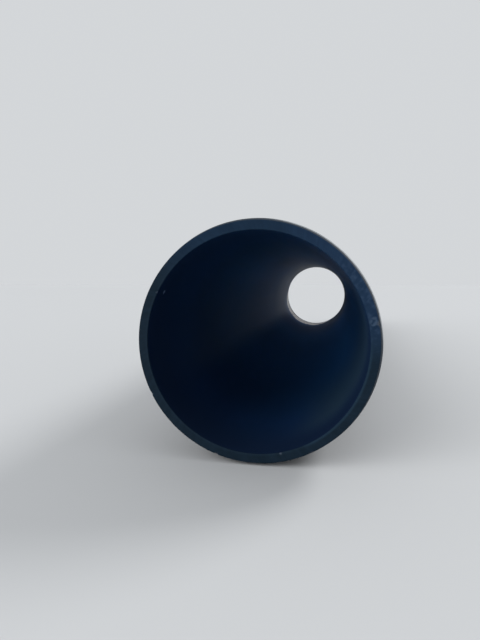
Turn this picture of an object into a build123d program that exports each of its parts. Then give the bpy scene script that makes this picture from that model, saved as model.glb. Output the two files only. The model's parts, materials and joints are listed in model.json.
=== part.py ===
from build123d import *
import os
from math import radians, tan

# One sold length of solid-wall polyethylene sewer pipe, lying on a level floor.
# It is extruded as one piece and sawn to length, so it is one solid of revolution.
# Millimetres. +Y runs along the pipe, +Z is up, and the origin is on the floor
# below the middle of the pipe.

# Driving dimensions
outside_diameter = 1000.0
wall_thickness = 50.0
pipe_length = 6000.0

# Each sawn end is bevelled on the outside, so that a coupler or a rubber ring slides on
bevel_angle = 15.0
bevel_depth = 12.0

# The saw's sharp corners are broken by hand
face_corner_radius = 2.0
bore_corner_radius = 3.0

# Sizes that follow from them
outer_radius = outside_diameter / 2
bore_radius = outer_radius - wall_thickness
bevel_length = bevel_depth / tan(radians(bevel_angle))
near_face = -pipe_length / 2
pipe_axis = Axis((0, 0, outer_radius), (0, 1, 0))


def wall_section():
    """The wall cut lengthwise above the axis: X is the distance from the axis, Y runs along the pipe."""
    with BuildSketch() as section:
        with BuildLine():
            end_outline = Polyline(
                (bore_radius, 0),
                (bore_radius, near_face),
                (outer_radius - bevel_depth, near_face),
                (outer_radius, near_face + bevel_length),
                (outer_radius, 0),
            )
            mirror(end_outline, about=Plane.XZ)
        make_face()
        face_corners = section.vertices().group_by(Axis.X)[1]
        fillet(face_corners, radius=face_corner_radius)
        bore_corners = section.vertices().group_by(Axis.X)[0]
        fillet(bore_corners, radius=bore_corner_radius)
    return section.sketch


def pipe_barrel():
    """The whole pipe: the wall section turned once round the bore's axis."""
    turned = revolve(wall_section(), axis=Axis.Y)
    return Pos(*pipe_axis.position) * turned


def main():
    os.makedirs("parts", exist_ok=True)
    barrel = pipe_barrel()
    export_step(barrel, "parts/pipe_barrel.step")
    print("pipe_barrel", barrel.bounding_box(), "volume", round(barrel.volume / 1e9, 4), "m3")


main()
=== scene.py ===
# %% [markdown]
# # A sawn length of black sewer pipe
# The object is one length of thick-walled polyethylene sewer pipe: 1 m across outside, 6 m long,
# extruded in one go and sawn at both ends. It lies on the floor and is seen through its near mouth.
# The CAD model already holds its sizes, so the first cell loads that model as a fixed frame and
# reads the pipe's lengths from it, instead of typing them a second time.

# %% Load the frame and read the pipe's sizes from it
import json
from math import cos, degrees, pi, radians, sin, tan

import bpy
import numpy as np
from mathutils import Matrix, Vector


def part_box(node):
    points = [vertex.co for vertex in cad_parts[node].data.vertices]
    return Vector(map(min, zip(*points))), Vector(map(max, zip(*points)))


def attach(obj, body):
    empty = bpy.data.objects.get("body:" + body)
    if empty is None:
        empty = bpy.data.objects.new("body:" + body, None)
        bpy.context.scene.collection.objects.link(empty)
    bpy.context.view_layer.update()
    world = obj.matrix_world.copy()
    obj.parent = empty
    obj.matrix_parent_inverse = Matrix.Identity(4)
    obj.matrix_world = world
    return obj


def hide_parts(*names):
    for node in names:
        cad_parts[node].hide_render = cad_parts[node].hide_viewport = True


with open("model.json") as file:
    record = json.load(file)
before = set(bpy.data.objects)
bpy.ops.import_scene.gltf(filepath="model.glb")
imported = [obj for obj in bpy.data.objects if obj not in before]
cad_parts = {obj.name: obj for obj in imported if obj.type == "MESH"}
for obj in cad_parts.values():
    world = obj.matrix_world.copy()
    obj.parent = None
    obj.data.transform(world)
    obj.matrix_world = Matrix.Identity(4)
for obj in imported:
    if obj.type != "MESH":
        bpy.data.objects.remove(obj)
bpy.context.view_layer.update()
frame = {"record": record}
pipe_low, pipe_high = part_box("pipe_barrel")
mounts = {mount["name"]: mount for mount in frame["record"]["mounts"]}

outer_radius = (pipe_high.x - pipe_low.x) / 2
bore_radius = mounts["bore"]["dims"]["r_mm"] / 1000
wall = outer_radius - bore_radius
axis_height = (pipe_high.z + pipe_low.z) / 2
near_end = pipe_low.y
far_end = pipe_high.y
print(f"outside radius {outer_radius:.3f}, bore radius {bore_radius:.3f}, wall {wall:.3f} m")
print(f"ends at y {near_end:.3f} and {far_end:.3f}, axis {axis_height:.3f} m above the floor")

# %% [markdown]
# ## Where the photograph was taken from
# A phone's main camera held upright sees as much as a 27 mm lens on film whose long side is 36 mm.
# The two ellipses of the mouth and the small far opening fix where it stood: 1.87 m in front of the
# mouth, a little right of the axis and above it, turned slightly left and down. Placing the camera
# by eye would also do, but three outlines that must all fit leave only one answer.

# %% The camera
camera_place = Vector((0.3171, -4.8700, 0.7561))
camera_turn_left = radians(11.30)
camera_tilt_down = radians(4.84)
lens_mm = 27.0

camera_data = bpy.data.cameras.new("view_into_the_mouth")
camera_data.lens = lens_mm
camera = bpy.data.objects.new("view_into_the_mouth", camera_data)
camera.location = camera_place
camera.rotation_euler = (pi / 2 - camera_tilt_down, 0, camera_turn_left)
bpy.context.scene.collection.objects.link(camera)
bpy.context.scene.camera = camera
print(f"camera {near_end - camera_place.y:.2f} m in front of the mouth")

# %% [markdown]
# ## A pale floor and soft light
# The photograph's light comes from beyond the pipe's far end, high on the right. It leaves the near
# face in shade, draws a bright line along the outer edge at the upper right, and reaches a crescent
# of bore wall at the lower left of the far opening. A broad, soft sun lamp in the same direction
# does this quietly. A second, much softer one stands for daylight from the near left, which
# brightens the right-hand wall just inside the mouth. The world is one even pale colour, and the
# floor's colour is chosen so that, lit by all three, it meets the world without a line.

# %% Floor and world
bpy.context.scene.view_settings.view_transform = "Standard"

floor_size = 120.0
floor_colour = (0.558, 0.566, 0.574, 1)
world_colour = (0.655, 0.675, 0.695, 1)

bpy.ops.object.select_all(action="DESELECT")
bpy.ops.mesh.primitive_plane_add(size=floor_size)
floor = bpy.context.object
floor.name = "floor"
floor_paint = bpy.data.materials.new("floor_paint")
floor_paint.use_nodes = True
floor_shader = floor_paint.node_tree.nodes["Principled BSDF"]
floor_shader.inputs["Base Color"].default_value = floor_colour
floor_shader.inputs["Roughness"].default_value = 0.9
floor_shader.inputs["Specular IOR Level"].default_value = 0.1
floor.data.materials.append(floor_paint)

world = bpy.data.worlds.new("even_light")
world.use_nodes = True
world.node_tree.nodes["Background"].inputs["Color"].default_value = world_colour
bpy.context.scene.world = world
print(f"floor {floor_size:.0f} m wide, world colour {world_colour[:3]}")


# %% Two soft lamps
def add_lamp(name, direction, strength, softness):
    """A sun lamp that shines from that direction; softness is how wide it looks, in radians."""
    data = bpy.data.lights.new(name, "SUN")
    data.energy = strength
    data.angle = softness
    lamp = bpy.data.objects.new(name, data)
    lamp.rotation_euler = direction.to_track_quat("Z", "Y").to_euler()
    bpy.context.scene.collection.objects.link(lamp)
    off_axis = degrees(direction.angle(Vector((0, 1, 0))))
    print(f"{name}: {off_axis:.0f} degrees off the far axis, strength {strength}")


beyond_on_the_right = Vector((0.55, 0.58, 0.60))
near_on_the_left = Vector((-0.62, -0.66, 0.42))
add_lamp("key_beyond_the_pipe", beyond_on_the_right, strength=1.5, softness=radians(20))
add_lamp("fill_from_near_left", near_on_the_left, strength=1.6, softness=radians(50))

# %% [markdown]
# ## The wall's section, trimmed like the real end
# A pipe is a flat section turned round a line. A typed list of corner points would do, but it hides
# how each corner came about. Here a plane is stretched to the wall's lengthwise section and then
# worked as the real end is: the outer corners are planed off at 15 degrees, so that a coupler or a
# rubber ring slides on, and the corners left by the saw are broken. The object's origin is put on
# the pipe's axis, because the next step turns the section about its own origin.

# %% Stretch a plane to the wall's section
bevel_angle = radians(15)
bevel_depth = 0.012
bevel_length = bevel_depth / tan(bevel_angle)
face_top = outer_radius - bevel_depth
axis_point = Vector((0, 0, axis_height))

bpy.ops.object.select_all(action="DESELECT")
bpy.ops.mesh.primitive_plane_add(size=1, location=axis_point, enter_editmode=True)
pipe = bpy.context.object
pipe.name = "pipe_wall"
bpy.ops.transform.rotate(value=pi / 2, orient_axis="Y", center_override=axis_point)
bpy.ops.transform.resize(value=(1, far_end - near_end, wall), center_override=axis_point)
bpy.ops.transform.translate(value=(0, 0, bore_radius + wall / 2))
for end, outward in ((near_end, -1), (far_end, 1)):
    bpy.ops.mesh.select_all(action="SELECT")
    bpy.ops.mesh.bisect(
        plane_co=(0, end, axis_height + face_top),
        plane_no=(0, outward * sin(bevel_angle), cos(bevel_angle)),
        clear_outer=True,
    )
print(f"section stretched, both ends planed back {bevel_length * 1000:.1f} mm")


# %% A helper that selects by place
def select_where(test):
    """Selects the edited mesh's points that pass test(r, y, angle), and counts them.

    r is the distance from the axis, y the place along the pipe, and angle 0 right and 90 up.
    """
    bpy.ops.mesh.select_mode(type="VERT")
    bpy.ops.mesh.select_all(action="DESELECT")
    bpy.ops.object.mode_set(mode="OBJECT")
    vertices = bpy.context.object.data.vertices
    places = np.empty(len(vertices) * 3)
    vertices.foreach_get("co", places)
    x, y, z = places.reshape(-1, 3).T
    chosen = test(np.hypot(x, z), y, np.degrees(np.arctan2(z, x)) % 360)
    vertices.foreach_set("select", chosen)
    bpy.ops.object.mode_set(mode="EDIT")
    return int(chosen.sum())


# %% Break the corners that the saw left
hair = 1e-4
bore_corner_radius = 0.003
face_corner_radius = 0.002
face_corner_cut = face_corner_radius / tan((radians(90) + bevel_angle) / 2)


def near_an_end(y, depth=hair):
    return np.minimum(abs(y - near_end), abs(y - far_end)) < depth


corners = select_where(lambda r, y, angle: near_an_end(y) & (abs(r - bore_radius) < hair))
bpy.ops.mesh.bevel(offset=bore_corner_radius, segments=4, affect="VERTICES")
corners += select_where(lambda r, y, angle: near_an_end(y) & (abs(r - face_top) < hair))
bpy.ops.mesh.bevel(offset=face_corner_cut, segments=3, affect="VERTICES")
print("rounded", corners, "corners of the section")

# %% [markdown]
# ## Rings only where the shape needs them
# Only the outline of the section is turned, so its inside is deleted first. Bisect then cuts the
# outline where a ring of points is wanted. The long straight barrel needs few rings. The ends need
# many, because the saw's steps and the knocks in the edges are real dents, and a dent can only be
# as fine as the mesh that it is made in.

# %% Cut the outline into rings
ring_depths = [0.008, 0.014, 0.022, 0.032, bevel_length - 0.002, bevel_length + 0.003]
ring_depths += [0.06, 0.08, 0.11, 0.16, 0.24, 0.4, 0.7, 1.1, 1.6, 2.2]
face_cuts = 8

bpy.ops.mesh.select_all(action="SELECT")
bpy.ops.mesh.delete(type="ONLY_FACE")
for y in [near_end + d for d in ring_depths] + [0] + [far_end - d for d in ring_depths]:
    bpy.ops.mesh.select_all(action="SELECT")
    bpy.ops.mesh.bisect(plane_co=(0, y, 0), plane_no=(0, 1, 0))
select_where(lambda r, y, angle: near_an_end(y))
bpy.ops.mesh.subdivide(number_cuts=face_cuts)
bpy.ops.object.mode_set(mode="OBJECT")
print("the outline has", len(pipe.data.vertices), "points")

# %% [markdown]
# ## Turn the section into a pipe
# Spin would turn the outline, but 720 steps of it take half a minute. The Screw modifier turns it
# at once, about the object's origin on the axis. 720 steps put a point every 4.4 mm round the rim.
# Once it is applied, the doubles where the turn closes are merged, and the normals are made to face
# outwards, because turning can leave them inside out.

# %% Turn, close and smooth
steps_round = 720
turning = pipe.modifiers.new("turning", "SCREW")
turning.axis = "Y"
turning.angle = 2 * pi
turning.steps = turning.render_steps = steps_round
bpy.ops.object.modifier_apply(modifier="turning")
bpy.ops.object.mode_set(mode="EDIT")
bpy.ops.mesh.select_all(action="SELECT")
bpy.ops.mesh.remove_doubles(threshold=1e-5)
bpy.ops.mesh.normals_make_consistent(inside=False)
bpy.ops.object.mode_set(mode="OBJECT")
bpy.ops.object.shade_smooth()
print("pipe wall:", len(pipe.data.vertices), "points,", len(pipe.data.polygons), "faces")

# %% [markdown]
# ## Four zones on one piece
# The pipe stays one mesh, as the real one is one piece of plastic, but it carries four finishes:
# the calibrated outside, the smooth bore, the sawn faces, and the planed bevels. Selecting the
# points of a zone selects the faces between them, and those are given the zone's material slot. The
# zones are taken in order, and where two overlap the later one keeps the faces.

# %% Mark the zones
bevel_starts = face_top - 0.008
sawn_stops = face_top + 0.0005
sawn_depth = 0.007
zones = {
    "outside": lambda r, y, angle: r > 0,
    "bore": lambda r, y, angle: r < bore_radius + hair,
    "bevel": lambda r, y, angle: near_an_end(y, bevel_length + hair) & (r > bevel_starts),
    "sawn": lambda r, y, angle: near_an_end(y, sawn_depth) & (r < sawn_stops),
}
finish_slots = {zone: bpy.data.materials.new(f"polyethylene_{zone}") for zone in zones}
bpy.ops.object.mode_set(mode="EDIT")
for index, (zone, belongs) in enumerate(zones.items()):
    pipe.data.materials.append(finish_slots[zone])
    select_where(belongs)
    pipe.active_material_index = index
    bpy.ops.object.material_slot_assign()
bpy.ops.object.mode_set(mode="OBJECT")
for index, zone in enumerate(zones):
    print(zone, "has", sum(face.material_index == index for face in pipe.data.polygons), "faces")

# %% [markdown]
# ## The saw's passes
# A pipe this thick is cut by a hand-held saw that goes round it in several passes. Each pass ends a
# little deeper or shallower than the last, so the face is a ring of very shallow steps. A noise
# displacement would make it lumpy instead. Moving one arc of the face at a time inwards gives the
# steps, and the outermost pass stays where it is, so that the pipe keeps its length.

# %% Step the sawn faces
pass_count = 7
deepest_pass = 0.0012
rim_depth = 0.0035
unevenness = 0.3
uneven_rhythm = 2.1
rank_step = 3


def pass_start(k):
    """The angle at which pass k begins; a hand-held saw's passes are not quite equal."""
    return 360 / pass_count * (k + unevenness * sin(uneven_rhythm * k))


bpy.ops.object.mode_set(mode="EDIT")
for end, inward in ((near_end, 1), (far_end, -1)):
    for k in range(pass_count):
        start = pass_start(k)
        arc = pass_start(k + 1) - start
        depth_rank = rank_step * k % pass_count
        depth = deepest_pass * depth_rank / (pass_count - 1)
        select_where(lambda r, y, angle: (abs(y - end) < rim_depth) & ((angle - start) % 360 < arc))
        bpy.ops.transform.translate(value=(0, inward * depth, 0))
print(pass_count, "saw passes on each end, the deepest", deepest_pass * 1000, "mm")

# %% [markdown]
# ## Knocks in the edges
# Handling leaves nicks in a heavy pipe's edges. The photograph shows four places on the near end: a
# chafed dent in the middle of the face just above the right-hand side, a rubbed spot on the outer
# edge beside it, a nick in the bore's edge at the upper left, and a small gouge a hand's breadth
# further in. The others are guesses, on the hidden lower side and on the far end. A nick could be
# cut out with a boolean, which leaves knife-sharp edges. Soft plastic is pressed, so a few points
# are picked and pushed in with proportional editing, which drags their neighbours after them. The
# last step puts the object's origin back at the frame's, with the pipe's place in its mesh.

# %% Press the knocks
outer_edge = face_top
bore_edge = bore_radius + bore_corner_radius
rim_middle = (bore_radius + face_top) / 2
gouge_depth = 0.08
dent_degree = 12
dent_radius = 0.012
dent_depth = 0.0025
dent_reach = dent_radius + 0.002
half_ring_gap = 0.0022


def round_axis(degree, radius=1.0, along=0.0):
    """A place, or a direction, at that angle round the pipe's axis."""
    turn = radians(degree)
    return (radius * cos(turn), along, radius * sin(turn))


def press(place, degree, radius, push_out, push_along, reach):
    """Pushes the points nearest to a spot on the pipe, and less and less those around it."""
    picked = select_where(
        lambda r, y, angle: (abs(y - place) < rim_depth)
        & (abs(r - radius) < half_ring_gap)
        & (abs(angle - degree) < 360 / steps_round)
    )
    bpy.ops.transform.translate(
        value=round_axis(degree, push_out, push_along),
        use_proportional_edit=True,
        proportional_edit_falloff="SMOOTH",
        proportional_size=reach,
    )
    print(f"pressed at {degree} degrees, y {place:.2f}: {picked} points and their neighbours")


press(near_end, dent_degree, rim_middle, 0, dent_depth, dent_reach)

# place along the pipe, angle round the rim in degrees, radius, push outwards, push along, reach
knocks = [
    (near_end, 10.5, outer_edge, -0.003, 0.003, 0.018),
    (near_end, 153.5, bore_edge, 0.003, 0.002, 0.010),
    (near_end + gouge_depth, 153.5, bore_radius, 0.0015, 0.001, 0.016),
    (near_end, 207, outer_edge, -0.002, 0.002, 0.010),
    (near_end, 251, outer_edge, -0.003, 0.003, 0.012),
    (near_end, 284, bore_edge, 0.002, 0.002, 0.009),
    (near_end, 298, outer_edge, -0.002, 0.002, 0.010),
    (far_end, 72, outer_edge, -0.005, -0.004, 0.016),
    (far_end, 201, bore_edge, 0.004, -0.003, 0.012),
    (far_end, 290, outer_edge, -0.005, -0.005, 0.017),
]
for knock in knocks:
    press(*knock)
bpy.ops.object.mode_set(mode="OBJECT")
bpy.ops.object.transform_apply(location=True, rotation=False, scale=False)

# %% [markdown]
# ## Shader sums written as sums
# Each finish is a small sum of masks: how far from the axis, how near an edge, how dusty. One Math
# node per step is hard to read, so a number in the shader is wrapped in a class whose + - * add the
# nodes. Every other node comes from one method, which takes its type, its settings and its sockets.
# A second class holds one zone's node tree, with the measures that all the finishes share.


# %% A number that varies over the surface
class Amount:
    """One output of a node. Sums on it become Math nodes."""

    def __init__(self, finish, socket):
        self.finish = finish
        self.socket = socket

    def __add__(self, other):
        return self.finish.math("ADD", self, other)

    def __radd__(self, other):
        return self.finish.math("ADD", other, self)

    def __sub__(self, other):
        return self.finish.math("SUBTRACT", self, other)

    def __rsub__(self, other):
        return self.finish.math("SUBTRACT", other, self)

    def __mul__(self, other):
        return self.finish.math("MULTIPLY", self, other)

    def __rmul__(self, other):
        return self.finish.math("MULTIPLY", other, self)

    def __abs__(self):
        return self.finish.math("ABSOLUTE", self)


# %% A finish and the calls that build it
class Finish:
    """The node tree of one zone, with the pipe's own measures of place."""

    fray_grain = 0.005
    fray_width = 0.016

    def __init__(self, zone, constants):
        material = finish_slots[zone]
        material.use_nodes = True
        self.zone = zone
        self.tree = material.node_tree
        self.shader = self.tree.nodes["Principled BSDF"]
        for name, value in constants.items():
            self.shader.inputs[name].default_value = value
        place = self.node("ShaderNodeTexCoord", {}, {}, "Object")
        lowered = {"Vector": place, "Location": (0, 0, -axis_height)}
        self.centred = self.node("ShaderNodeMapping", {}, lowered)
        across = self.vector("MULTIPLY", self.centred, (1, 0, 1))
        self.from_axis = self.vector("LENGTH", across, output="Value")
        self.outward = self.vector("NORMALIZE", across)
        self.along = self.node("ShaderNodeSeparateXYZ", {}, {0: self.centred}, "Y")
        self.height = self.node("ShaderNodeSeparateXYZ", {}, {0: self.centred}, "Z")
        self.from_end = far_end - abs(self.along)

    def node(self, kind, settings, sockets, output=0):
        """Adds a node, sets it up, fills its sockets, and returns one of its outputs."""
        made = self.tree.nodes.new(kind)
        for name, value in settings.items():
            setattr(made, name, value)
        for name, value in sockets.items():
            if isinstance(value, Amount):
                self.tree.links.new(value.socket, made.inputs[name])
            else:
                made.inputs[name].default_value = value
        return Amount(self, made.outputs[output])

    def math(self, operation, *values):
        return self.node("ShaderNodeMath", {"operation": operation}, dict(enumerate(values)))

    def vector(self, operation, *values, output=0):
        settings = {"operation": operation}
        return self.node("ShaderNodeVectorMath", settings, dict(enumerate(values)), output)

    def ramp(self, value, low, high):
        """0 up to low, 1 from high on, and smooth between them."""
        sockets = {"Value": value, "From Min": low, "From Max": high}
        return self.node("ShaderNodeMapRange", {"interpolation_type": "SMOOTHSTEP"}, sockets)

    def noise(self, size, detail=3.0, stretch=(1, 1, 1), at=None):
        """Soft noise with lumps about size metres across, and stretch times that on each axis."""
        scale = tuple(1 / s for s in stretch)
        source = self.node("ShaderNodeMapping", {}, {"Vector": at or self.centred, "Scale": scale})
        sockets = {"Vector": source, "Scale": 1 / size, "Detail": detail}
        return self.node("ShaderNodeTexNoise", {}, sockets, "Fac")

    def scratches(self, size, stretch, width, detail=1.0):
        """Thin lines where a stretched noise passes through its middle value."""
        return 1 - self.ramp(abs(self.noise(size, detail, stretch) - 0.5), 0.0, width)

    def side(self, degree, half_width, soft=8):
        """1 round that angle of the rim, fading over soft degrees past its half width."""
        cosine = self.vector("DOT_PRODUCT", self.outward, round_axis(degree), output="Value")
        return self.ramp(cosine, cos(radians(half_width + soft)), cos(radians(half_width)))

    def knocked(self):
        """1 where a knock has bruised the plastic, 0 away from it, with a frayed outline."""
        bruise = 0.0
        fray = (self.noise(self.fray_grain, detail=4) - 0.5) * self.fray_width
        for place, degree, radius, push_out, push_along, reach in knocks:
            at = round_axis(degree, radius, place)
            distance = self.vector("DISTANCE", self.centred, at, output="Value") + fray
            bruise = bruise + (1 - self.ramp(distance, 0.30 * reach, 0.75 * reach))
        return bruise

    def blend(self, amount, first, second):
        """Colour first where amount is 0, and second where it is 1."""
        first, second = ((*c, 1) if isinstance(c, tuple) else c for c in (first, second))
        sockets = {0: amount, 6: first, 7: second}
        return self.node("ShaderNodeMix", {"data_type": "RGBA"}, sockets, 2)

    def bump(self, height, distance, under=None):
        """A surface normal disturbed by height, on top of the one under it if there is one."""
        sockets = {"Height": height, "Distance": distance}
        if under:
            sockets["Normal"] = under
        return self.node("ShaderNodeBump", {}, sockets)

    def feed(self, colour, roughness, normal):
        """Joins what changes over the surface to the shader."""
        for name, value in (("Base Color", colour), ("Roughness", roughness), ("Normal", normal)):
            self.tree.links.new(value.socket, self.shader.inputs[name])
        print(f"{self.zone}: {len(self.tree.nodes)} nodes in its tree")


# %% [markdown]
# ## The sawn face
# Freshly sawn polyethylene is duller and a shade lighter than the extruded skin: a slate grey with
# fine marks where the teeth crossed the wall. The marks run nearly straight out from the bore and
# lean a little, so noise is sampled on the direction from the axis alone, turned by how far out the
# point is. That gives radial marks with no seam anywhere round the rim. The upper right of the rim
# is a little bluer and paler than the rest, which is painted light, not a stain. There are rubbed
# patches between about 5 and 45 degrees, and a paler strip along the bore's edge of the face,
# strongest at the lower right, which is a painted highlight on the rounded corner.

# %% Saw marks and rubbed places
sawn = Finish("sawn", {"Specular IOR Level": 0.10})
lean_per_metre = 0.9
dent_place = round_axis(dent_degree, rim_middle, near_end)
dent_fray = 0.022
chafe_width = 0.007
strip_full = bore_radius + 0.005
strip_ends = bore_radius + 0.012

# arcs of the rim: the middle and the half width, in degrees
rubbed_arc = (24, 15)
strip_arc = (-32, 26)

lean = (sawn.from_axis - bore_radius) * lean_per_metre
turn = {"Vector": sawn.outward, "Angle": lean}
leaning = sawn.node("ShaderNodeVectorRotate", {"rotation_type": "Y_AXIS"}, turn)
round_rim = sawn.vector("MULTIPLY", leaning, (rim_middle, rim_middle, rim_middle))
tooth_marks = sawn.noise(0.003, detail=2, at=round_rim)
streaks = sawn.noise(0.018, detail=3, at=round_rim)
arcs = sawn.noise(0.12, detail=1, at=round_rim)
mottle = sawn.noise(0.03, detail=4)
grit = sawn.ramp(sawn.noise(0.004, detail=1), 0.70, 0.78) * sawn.ramp(mottle, 0.48, 0.62)

tone = sawn.ramp(streaks * 0.35 + mottle * 0.3 + arcs * 0.25 + tooth_marks * 0.3, 0.45, 0.75)
rubbed = sawn.side(*rubbed_arc, soft=10) * sawn.ramp(streaks * 0.3 + mottle * 0.7, 0.46, 0.60)
# A painted highlight along the bore's rounded edge of the face, strongest at the lower right.
bore_edge_highlight = 1 - sawn.ramp(sawn.from_axis, strip_full, strip_ends)
bore_edge_highlight = bore_edge_highlight * (0.12 + sawn.side(*strip_arc) * 0.45)
from_dent = sawn.vector("DISTANCE", sawn.centred, dent_place, output="Value")
from_dent = from_dent + (mottle - 0.5) * dent_fray
chafed = 1 - sawn.ramp(abs(from_dent - dent_radius), 0.001, chafe_width)
chafed = chafed * sawn.ramp(sawn.noise(0.012, detail=4), 0.28, 0.52)
print(f"marks lean {degrees(lean_per_metre * wall):.1f} degrees across the wall")

# %% Colour of the sawn faces
slate = ((0.0035, 0.0115, 0.0210), (0.0065, 0.0170, 0.0310))
lit_upper_slate = ((0.0048, 0.0175, 0.0390), (0.0085, 0.0250, 0.0530))
lit_upper_right_slate = ((0.0078, 0.0235, 0.0560), (0.0125, 0.0330, 0.0730))
rubbed_grey = (0.026, 0.050, 0.096)
chafed_grey = (0.048, 0.080, 0.130)
bore_edge_highlight_grey = (0.013, 0.034, 0.060)
grit_grey = (0.10, 0.11, 0.12)
sawn_bruise = (0.055, 0.072, 0.100)
lit_upper_arc = (68, 53)
lit_upper_right_arc = (38, 20)
mark_height = 0.0012

colour = sawn.blend(tone, *slate)
# Painted light: the upper and upper right parts of the face are paler and bluer, where more light
# falls on them.
lit_upper = sawn.blend(tone, *lit_upper_slate)
colour = sawn.blend(sawn.side(*lit_upper_arc, soft=30), colour, lit_upper)
lit_upper_right = sawn.blend(tone, *lit_upper_right_slate)
colour = sawn.blend(sawn.side(*lit_upper_right_arc, soft=24) * 0.8, colour, lit_upper_right)
colour = sawn.blend(rubbed * 0.65, colour, rubbed_grey)
colour = sawn.blend(chafed * 0.65, colour, chafed_grey)
colour = sawn.blend(bore_edge_highlight, colour, bore_edge_highlight_grey)
colour = sawn.blend(grit * 0.3, colour, grit_grey)
colour = sawn.blend(sawn.knocked() * 0.8, colour, sawn_bruise)
relief = sawn.bump(streaks + arcs * 2, mark_height)
relief = sawn.bump(tooth_marks, mark_height, under=relief)
sawn.feed(colour, 0.62 + mottle * 0.2, relief)

# %% [markdown]
# ## The planed bevel
# The narrow cone outside each face was shaved by a tool that ran round the pipe, so its fine lines
# follow the rim. Noise that changes quickly along the pipe and slowly round it draws them. Every
# sling and neighbour rubs the bevel's outer edge: there black plastic goes a little grey and is
# polished, all round. The much paler band along the upper right of the outline is a painted
# highlight: sunlight that grazes the edge, painted into its colour.

# %% Bevels
bevel = Finish("bevel", {"Specular IOR Level": 0.2})
edge_band_width = 0.0075
full_edge_band_width = 0.002
edge_band_fray = 0.005
sunlit_edge_arc = (42, 30)
tool_line_height = 0.0005
shaved_slate = ((0.0040, 0.0125, 0.0240), (0.0085, 0.0200, 0.0360))
highlight_and_wear_grey = (0.31, 0.335, 0.36)
skin_bruise = (0.10, 0.11, 0.13)

tool_lines = bevel.noise(0.0012, detail=3, stretch=(80, 1, 80))
scuffs = bevel.noise(0.005, detail=6, stretch=(3, 1, 3))
frayed = bevel.from_axis + (scuffs - 0.5) * edge_band_fray
# Painted highlight where sunlight grazes the outer edge, strongest at the upper right, over a
# little real wear all round.
highlight_and_wear = bevel.ramp(frayed, outer_radius - edge_band_width, outer_radius - full_edge_band_width)
highlight_and_wear = highlight_and_wear * (0.06 + bevel.side(*sunlit_edge_arc, soft=14) * 0.94)
highlight_and_wear = highlight_and_wear * (0.4 + bevel.ramp(tool_lines, 0.36, 0.56) * 0.6)
shade = bevel.ramp(scuffs * 0.5 + tool_lines * 0.5, 0.42, 0.62)
colour = bevel.blend(shade, *shaved_slate)
colour = bevel.blend(highlight_and_wear, colour, highlight_and_wear_grey)
colour = bevel.blend(bevel.knocked() * 0.7, colour, skin_bruise)
relief = bevel.bump(tool_lines, tool_line_height)
bevel.feed(colour, 0.68 + scuffs * 0.2 - highlight_and_wear * 0.4, relief)

# %% [markdown]
# ## The bore
# The inside is smooth and blue-black. The die leaves faint lines along the pipe. The first half
# metre inside each mouth is darker. A lighter band on the lower right near the mouths is partly
# dust and partly a painted pool of the light that falls in through the mouth. A painted picture
# could hold all this, but it would need the bore rolled out flat. Here each is one mask of place,
# blended over the plastic's own colour.

# %% Bore
# The navy sheen is partly a dust film and partly painted blue light in the pipe's shade.
thin_dust_and_blue_light = {
    "Specular IOR Level": 0.12,
    "Sheen Weight": 0.07,
    "Sheen Roughness": 0.35,
    "Sheen Tint": (0.06, 0.36, 1.0, 1),
}
navy = ((0.0022, 0.0190, 0.0700), (0.0030, 0.0220, 0.0800))
darker_navy = (0.0010, 0.0070, 0.0260)
dust_and_light_navy = (0.0115, 0.0275, 0.0450)
dust_and_light_arc = (-14, 24)

# where each begins and is complete, in metres from the nearer mouth
darkening_fades = (0.02, 0.60)
dust_and_light_builds_up = (0.06, 0.30)
dust_and_light_dies_out = (0.6, 1.6)

bore = Finish("bore", thin_dust_and_blue_light)
die_lines = bore.noise(0.006, detail=3, stretch=(1, 150, 1))
film = bore.noise(0.15, detail=3, stretch=(1, 6, 1))
# Darker over the first half metre inside each mouth.
darker_near_mouth = 1 - bore.ramp(bore.from_end, *darkening_fades)
colour = bore.blend(bore.ramp(film, 0.35, 0.65), *navy)
colour = bore.blend(darker_near_mouth, colour, darker_navy)
past_mouth = bore.ramp(bore.from_end, *dust_and_light_builds_up)
near_mouth = past_mouth * (1 - bore.ramp(bore.from_end, *dust_and_light_dies_out))
# Partly dust and partly a painted pool of light, where light from the mouth falls on the lower
# right wall.
dust = bore.side(*dust_and_light_arc, soft=40) * near_mouth * (0.7 + film * 0.6)
colour = bore.blend(dust, colour, dust_and_light_navy)
print("bore: sheen weight", thin_dust_and_blue_light["Sheen Weight"], "at the mouths")

# %% [markdown]
# ## Dry silt and painted sunlight inside the far mouth
# A bright crescent lies on the bore's wall, deepest at the lower left of the far opening and
# running out on both sides. It is a film of dry silt with painted sunlight on it: the crescent
# keeps to where the sun falls in through the far mouth. A film of silt has no thickness to see, so
# it is a finish and not a sheet of its own. How far it reaches into the pipe follows the direction
# from the axis, less a constant, which gives a crescent with two horns. It ends in a tidemark, as a
# dried puddle does. It has worn thin in patches, and rain has washed the last few centimetres
# before the mouth clean. What the knocks have bruised comes last, over everything.

# %% Silt and painted sunlight
crescent_middle = -125
crescent_reach = 0.62
crescent_trim = 0.15
crescent_wave = 0.16
crescent_fray = 0.03
edge_width = 0.08
tidemark_width = 0.16
rain_fray = 0.11
rain_reach = (0.01, 0.13)
silt_and_sun_tones = ((0.30, 0.285, 0.27), (0.52, 0.50, 0.47))
bore_bruise = (0.10, 0.14, 0.22)

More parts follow.
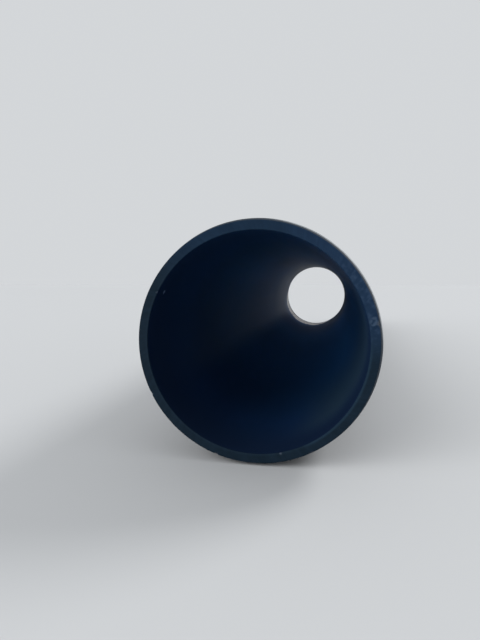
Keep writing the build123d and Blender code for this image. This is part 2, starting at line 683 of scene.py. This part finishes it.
# Dry silt with painted sunlight on it: the crescent follows where the sun falls in through the far
# mouth.
crescent_depth = bore.vector("DOT_PRODUCT", bore.outward, round_axis(crescent_middle), output="Value")
crescent_depth = crescent_depth * crescent_reach
waves = bore.noise(0.16, detail=2)
clouds = bore.noise(0.03, detail=5, stretch=(1, 2, 1))
patches = clouds * 0.7 + waves * 0.3
from_far_end = far_end - bore.along
crescent_edge = crescent_depth - from_far_end - crescent_trim
crescent_edge = crescent_edge + (waves - 0.5) * crescent_wave + (clouds - 0.5) * crescent_fray
left_by_rain = bore.ramp(from_far_end + (clouds - 0.5) * rain_fray, *rain_reach)
worn_thin = 0.4 + bore.ramp(patches, 0.34, 0.47) * 0.6
silt_and_sun_patch = bore.ramp(crescent_edge, 0.0, edge_width) * left_by_rain * worn_thin
tidemark = silt_and_sun_patch * (1 - bore.ramp(crescent_edge, edge_width, tidemark_width))
cloudy = bore.ramp(patches, 0.40, 0.62) * 0.6 + tidemark * 0.4
colour = bore.blend(silt_and_sun_patch * 0.9, colour, bore.blend(cloudy, *silt_and_sun_tones))
colour = bore.blend(bore.knocked(), colour, bore_bruise)
print(f"silt: {crescent_reach - crescent_trim:.2f} m into the pipe at {crescent_middle} degrees")

# %% [markdown]
# ## A film of dust and painted blue light that grow with depth
# A dry film of dust scatters light at grazing angles, which is what the shader's sheen stands for.
# Its navy tint and how strong it grows are partly painted light: the blue of scattered daylight in
# the pipe's shade, which keeps the depth of the pipe navy instead of black. A brighter base colour
# would hardly show there, because little light falls straight on that wall. The sheen grows over
# the first 2 m, less so on the upper right. The sheen's own socket has to stay constant, so a Mix
# Shader goes from a thinly sheened shader to a thickly sheened one. The thin one comes first,
# because an exported file that can't hold a mix keeps the first of the two. The bottom and the
# right-hand side of the bore are duller than the rest, so they mirror less of the far opening.

# %% Dust film and painted blue light
thick_dust_and_blue_light = thin_dust_and_blue_light | {"Sheen Weight": 0.80}
blue_light_starts = 0.06
blue_light_full = 2.30
thin_blue_light_arc = (52, 48)
dull_arc = (-60, 70)
relief_height = 0.00012

dull = bore.side(*dull_arc, soft=30)
roughness = 0.56 + film * 0.06 + dull * 0.34
relief = bore.bump(die_lines + silt_and_sun_patch * 2 + clouds * silt_and_sun_patch * 4, relief_height)
bore.feed(colour, roughness, relief)

surface_sockets = {"Base Color": colour, "Roughness": roughness, "Normal": relief}
# The thick sheen paints blue light deep in the pipe, over a dust film.
thick_blue_light_shader = bore.node("ShaderNodeBsdfPrincipled", {}, thick_dust_and_blue_light | surface_sockets)
thin_blue_light_shader = Amount(bore, bore.shader.outputs[0])
thin_blue_light = bore.side(*thin_blue_light_arc, soft=40)
blue_light_share = bore.ramp(bore.from_end, blue_light_starts, blue_light_full) * (1 - thin_blue_light * 0.45)
mixed = bore.node("ShaderNodeMixShader", {}, {0: blue_light_share, 1: thin_blue_light_shader, 2: thick_blue_light_shader})
bore.tree.links.new(mixed.socket, bore.tree.nodes["Material Output"].inputs["Surface"])
print(f"dust film: full from {blue_light_full} m inside each mouth")

# %% [markdown]
# ## The outside
# The outside was sized in a water-cooled sleeve, which leaves a satin skin with fine lengthwise
# lines. It has been dragged, rained on and stood in the open: long scratches run along it, dust
# lies on top and has been washed down the sides in runs, and the lowest strip is soiled.
# The photograph hides all of this, so it is kept faint. Each effect is one stretched noise and one
# mask of height.

# %% Marks, dust and soil on the outside
skin = Finish("outside", {"Specular IOR Level": 0.4})

# heights from the axis between which each comes or goes, in metres
dust_heights = (0.05, 0.50)
soil_heights = (-0.49, -0.36)

sleeve_lines = skin.noise(0.005, detail=3, stretch=(1, 200, 1))
bands = skin.noise(0.05, detail=3, stretch=(1, 60, 1))
blotches = skin.noise(0.22, detail=4, stretch=(1, 3, 1))
runs = skin.noise(0.06, detail=4, stretch=(9, 1, 9))
long_scratches = skin.scratches(0.05, (1, 26, 1), 0.006)
long_scratches = long_scratches * skin.ramp(skin.noise(0.5, detail=2), 0.50, 0.60)
short_scratches = skin.scratches(0.03, (1, 5, 3), 0.010)
short_scratches = short_scratches * skin.ramp(skin.noise(0.18, detail=2), 0.56, 0.66)
marks = long_scratches * 0.8 + short_scratches * 0.5
settled = skin.ramp(blotches * 0.7 + runs * 0.2 + bands * 0.3, 0.45, 0.80)
dust = skin.ramp(skin.height, *dust_heights) * settled
clods = skin.ramp(skin.noise(0.04, detail=5), 0.45, 0.62)
soil = (1 - skin.ramp(skin.height, *soil_heights)) * clods
print("outside: masks for scratches, dust and soil")

# %% Colour of the outside
satin_black = ((0.0075, 0.0115, 0.0185), (0.0120, 0.0165, 0.0245))
dust_grey = (0.055, 0.057, 0.058)
scratch_grey = (0.085, 0.090, 0.098)
soil_brown = (0.085, 0.070, 0.052)
line_height = 0.0004

shade = skin.ramp(bands * 0.6 + blotches * 0.4, 0.38, 0.62)
colour = skin.blend(shade, *satin_black)
colour = skin.blend(dust * 0.6, colour, dust_grey)
colour = skin.blend(marks * 0.5, colour, scratch_grey)
colour = skin.blend(soil * 0.45, colour, soil_brown)
colour = skin.blend(skin.knocked() * 0.5, colour, skin_bruise)
roughness = 0.40 + blotches * 0.06 + bands * 0.06 + dust * 0.18 + marks * 0.15 + soil * 0.25
skin.feed(colour, roughness, skin.bump(sleeve_lines - marks * 0.4, line_height))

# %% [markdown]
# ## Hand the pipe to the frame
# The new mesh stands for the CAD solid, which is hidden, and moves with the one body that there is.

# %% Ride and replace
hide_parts("pipe_barrel")
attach(pipe, "root")
